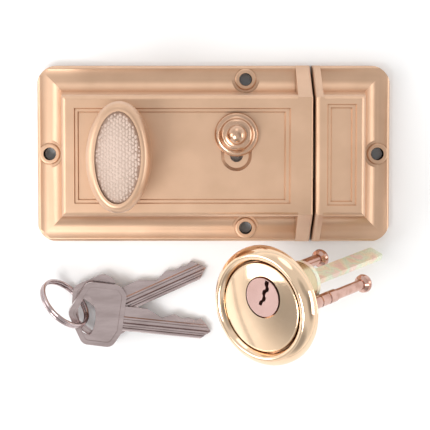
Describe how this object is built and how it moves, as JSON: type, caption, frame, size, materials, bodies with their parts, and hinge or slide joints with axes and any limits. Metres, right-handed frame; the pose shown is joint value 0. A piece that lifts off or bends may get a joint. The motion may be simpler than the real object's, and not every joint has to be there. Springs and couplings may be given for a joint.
{
  "type": "rim night latch",
  "caption": "Surface-mounted rim night latch with knob, snib and sprung bolt, its box keep, a round rim cylinder with tail bar and fixing screws, and flat keys on a split ring.",
  "frame": {"origin": "middle of the set's outer box, on the surface that the latch and the keep lie on", "axes": "+Z out of the latch's front face, +X along the case towards the keep, +Y along the case's short side"},
  "size_m": [0.119, 0.0954, 0.0609],
  "materials": {
    "satin_gold": "satin champagne-gold lacquer on a zinc casting",
    "pale_insert": "pale silvery gold, pebbled",
    "polished_brass": "polished and lacquered brass",
    "bearing_brass": "turned brass",
    "yellow_zinc": "yellow passivated zinc plate on steel",
    "nickel_silver": "nickel plate, slightly worn",
    "nickel_wire": "bright nickel plated spring wire",
    "steel": "plain steel"
  },
  "bodies": {
    "case": {"case_cover": "satin_gold", "back_plate": "yellow_zinc", "back_plate_screws": "yellow_zinc", "spring_guide_pin": "steel", "bolt_spring": "steel", "knob_bush": "bearing_brass", "snib_detent_spring": "steel"},
    "bolt": {"bolt_head": "bearing_brass", "bolt_tail": "steel", "bolt_rivets": "steel"},
    "knob": {"knob_body": "satin_gold", "knob_insert": "pale_insert", "knob_spindle": "steel", "knob_clip": "steel", "follower": "steel"},
    "snib": {"snib_button": "polished_brass", "snib_stem": "steel", "snib_slide": "steel"},
    "keep": {"keep_cover": "satin_gold"},
    "cylinder": {"cylinder_face": "polished_brass", "cylinder_body": "bearing_brass", "pull_ring": "polished_brass", "chamber_cover": "bearing_brass", "driver_pins": "bearing_brass", "pin_springs": "steel", "fixing_screws": "yellow_zinc"},
    "plug": {"plug": "nickel_silver", "key_pins": "bearing_brass", "tail_cap": "yellow_zinc", "tail_bar": "yellow_zinc"},
    "key_ring": {"split_ring": "nickel_wire"},
    "front_key": {"key_front": "nickel_silver"},
    "rear_key": {"key_rear": "nickel_silver"}
  },
  "joints": [
    {"name": "knob_turn", "type": "hinge", "parent": "case", "child": "knob", "pos_m": [-0.0303, 0.01797, 0.023], "axis": [0, 0, 1], "range_deg": [0, 50]},
    {"name": "bolt_slide", "type": "slide", "parent": "case", "child": "bolt", "axis": [1, 0, 0], "range_m": [-0.0125, 0], "stiffness_N_per_m": 150, "springref_m": 0.01, "deforming": ["bolt_spring"]},
    {"name": "snib_slide", "type": "slide", "parent": "case", "child": "snib", "axis": [0, 1, 0], "range_m": [-0.007, 0]},
    {"name": "keep_draw", "type": "slide", "parent": "case", "child": "keep", "axis": [1, 0, 0], "range_m": [0, 0.03]},
    {"name": "cylinder_lift", "type": "slide", "parent": "case", "child": "cylinder", "axis": [0, 0, 1], "range_m": [0, 0.03]},
    {"name": "plug_turn", "type": "hinge", "parent": "cylinder", "child": "plug", "pos_m": [0.01616, -0.02514, 0.05012], "axis": [-0.6258, -0.1468, 0.766], "range_deg": [-90, 90]},
    {"name": "keys_lift", "type": "slide", "parent": "case", "child": "key_ring", "axis": [0, 0, 1], "range_m": [0, 0.02]},
    {"name": "front_key_swing", "type": "hinge", "parent": "key_ring", "child": "front_key", "pos_m": [-0.0431, -0.03783, 0.0071], "axis": [0.1587, -0.0198, 0.9871], "range_deg": [-5, 5]},
    {"name": "rear_key_swing", "type": "hinge", "parent": "key_ring", "child": "rear_key", "pos_m": [-0.0436, -0.03503, 0.00355], "axis": [0.051, 0.0226, 0.9984], "range_deg": [-5, 5]}
  ],
  "couplings": [
    {"joint": "bolt_slide", "follows": "knob_turn", "m_per_rad": -0.0142}
  ]
}
